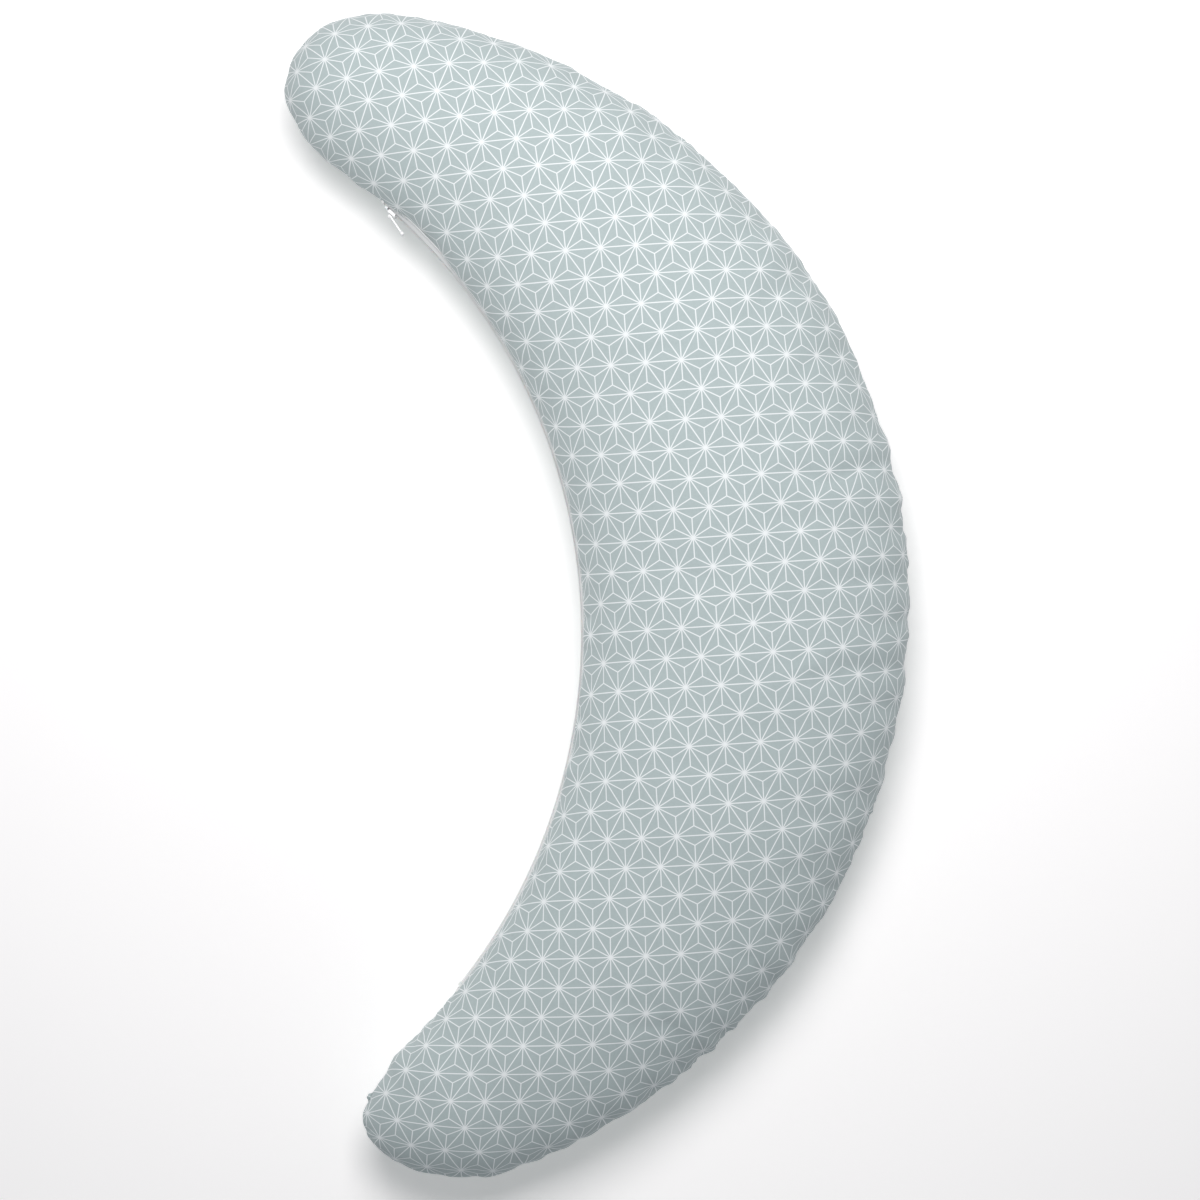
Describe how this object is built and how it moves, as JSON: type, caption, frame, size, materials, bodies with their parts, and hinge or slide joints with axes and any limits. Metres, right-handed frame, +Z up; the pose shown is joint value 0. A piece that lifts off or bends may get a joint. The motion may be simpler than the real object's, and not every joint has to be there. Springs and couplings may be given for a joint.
{
  "type": "nursing pillow",
  "caption": "Crescent nursing pillow: zipped, star-printed cotton cover round a sewn, fibre-filled inner pillow, with a zipper along the edge of its bay.",
  "frame": {"origin": "middle of the pillow's bounding box, on the surface that it lies on", "axes": "+Z up, +X towards the outside of the crescent's bend, +Y along its length, from tip to tip"},
  "size_m": [0.5831, 1.1734, 0.158],
  "materials": {
    "cover_cotton": "plain-weave cotton, sage grey with a white line print of six-pointed stars",
    "white_thread": "spun polyester sewing thread",
    "zipper_tape": "woven polyester tape, white",
    "zipper_coil": "polyester monofilament coil, white",
    "label_satin": "blank satin strip",
    "liner_cloth": "plain white cotton",
    "fibre_filling": "loose hollow-fibre balls",
    "lacquered_zinc": "die-cast zinc, white lacquer"
  },
  "bodies": {
    "pillow": {"cover_top_panel": "cover_cotton", "cover_bottom_panel": "cover_cotton", "cover_seam_thread": "white_thread", "cover_overlock_thread": "white_thread", "zipper_tape_upper": "zipper_tape", "zipper_tape_lower": "zipper_tape", "zipper_coil_upper": "zipper_coil", "zipper_coil_lower": "zipper_coil", "zipper_stitching_upper": "white_thread", "zipper_stitching_lower": "white_thread", "zipper_top_stops": "zipper_coil", "zipper_bottom_stop": "zipper_coil", "zipper_bar_tacks": "white_thread", "care_label": "label_satin", "liner_top_panel": "liner_cloth", "liner_bottom_panel": "liner_cloth", "liner_seam_thread": "white_thread", "liner_closing_stitch": "white_thread", "filling": "fibre_filling"},
    "slider": {"slider_body": "lacquered_zinc", "slider_crown": "lacquered_zinc"},
    "pull": {"pull_tab": "lacquered_zinc"}
  },
  "joints": [
    {"name": "slider_travel", "type": "hinge", "parent": "pillow", "child": "slider", "pos_m": [-0.6033, 0, 0.076], "axis": [0, 0, -1], "range_deg": [0, 85.5]},
    {"name": "pull_swing", "type": "hinge", "parent": "slider", "child": "pull", "pos_m": [-0.19304, 0.38124, 0.076], "axis": [0, 0, -1], "range_deg": [-8, 152]}
  ]
}
